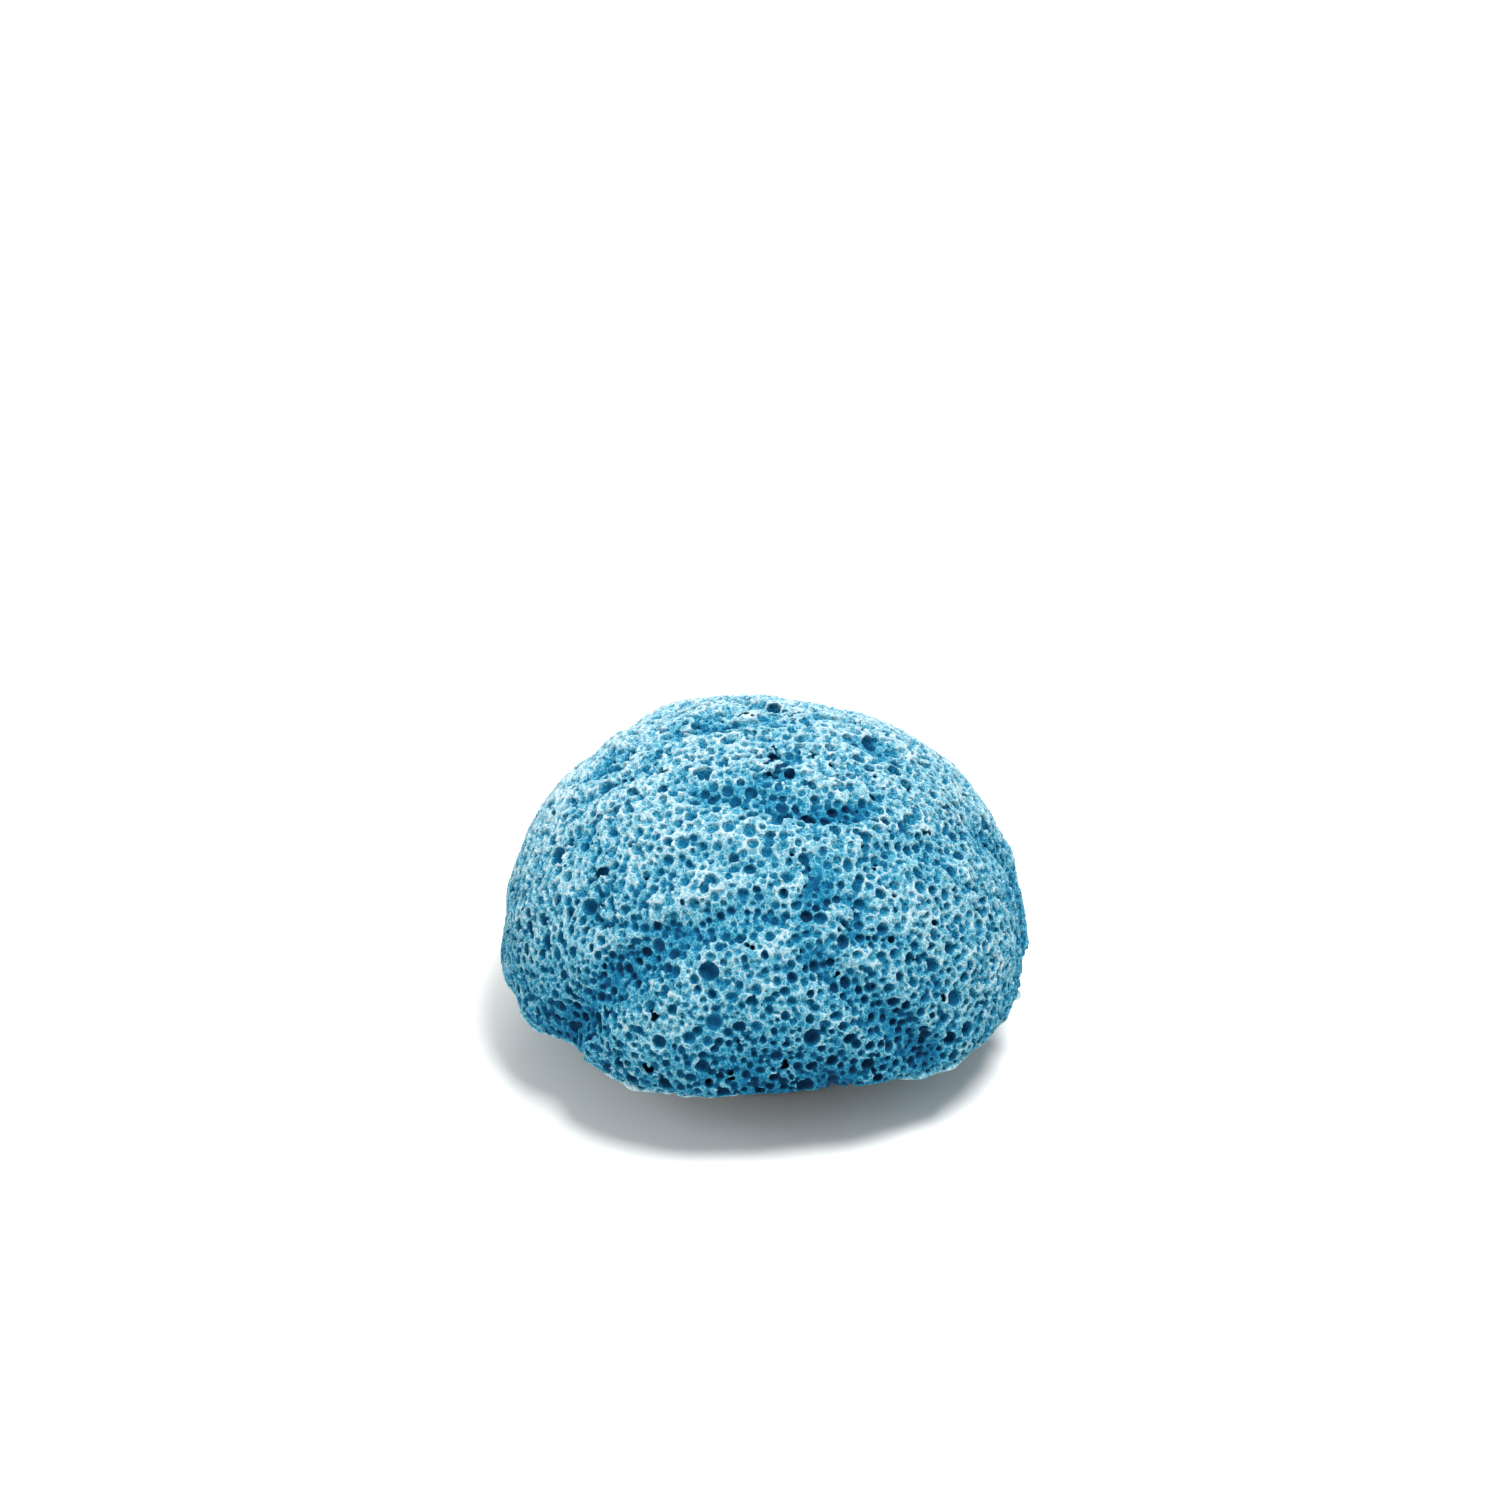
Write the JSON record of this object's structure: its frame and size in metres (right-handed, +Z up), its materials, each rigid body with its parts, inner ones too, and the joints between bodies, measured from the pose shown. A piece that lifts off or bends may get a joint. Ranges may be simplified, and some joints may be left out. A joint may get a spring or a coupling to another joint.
{
  "type": "air stone",
  "caption": "Porous dome that lifts off a weighted round base; air enters by a barbed tail at the back and leaves through the dome's open cells.",
  "frame": {"origin": "on the surface that the base stands on, under the middle of the dome", "axes": "+Z up, along the spigot; +Y towards the tip of the hose tail"},
  "size_m": [0.07, 0.07, 0.0445],
  "materials": {
    "blue_porous": "matt, open-celled",
    "grey_plastic": "satin, fine moulded grain",
    "black_rubber": "matt",
    "steel": "brushed"
  },
  "bodies": {
    "base": {"base_shell": "grey_plastic", "air_spigot": "grey_plastic", "dome_seal": "black_rubber", "spigot_ring": "black_rubber", "ballast": "steel", "gallery_gasket": "black_rubber", "base_cover": "grey_plastic", "cover_screws": "steel", "foot_ring": "black_rubber", "hose_tail": "grey_plastic"},
    "stone": {"porous_body": "blue_porous", "stone_collar": "grey_plastic"}
  },
  "joints": [
    {"name": "stone_lift", "type": "slide", "parent": "base", "child": "stone", "axis": [0, 0, 1], "range_m": [0, 0.03]}
  ]
}
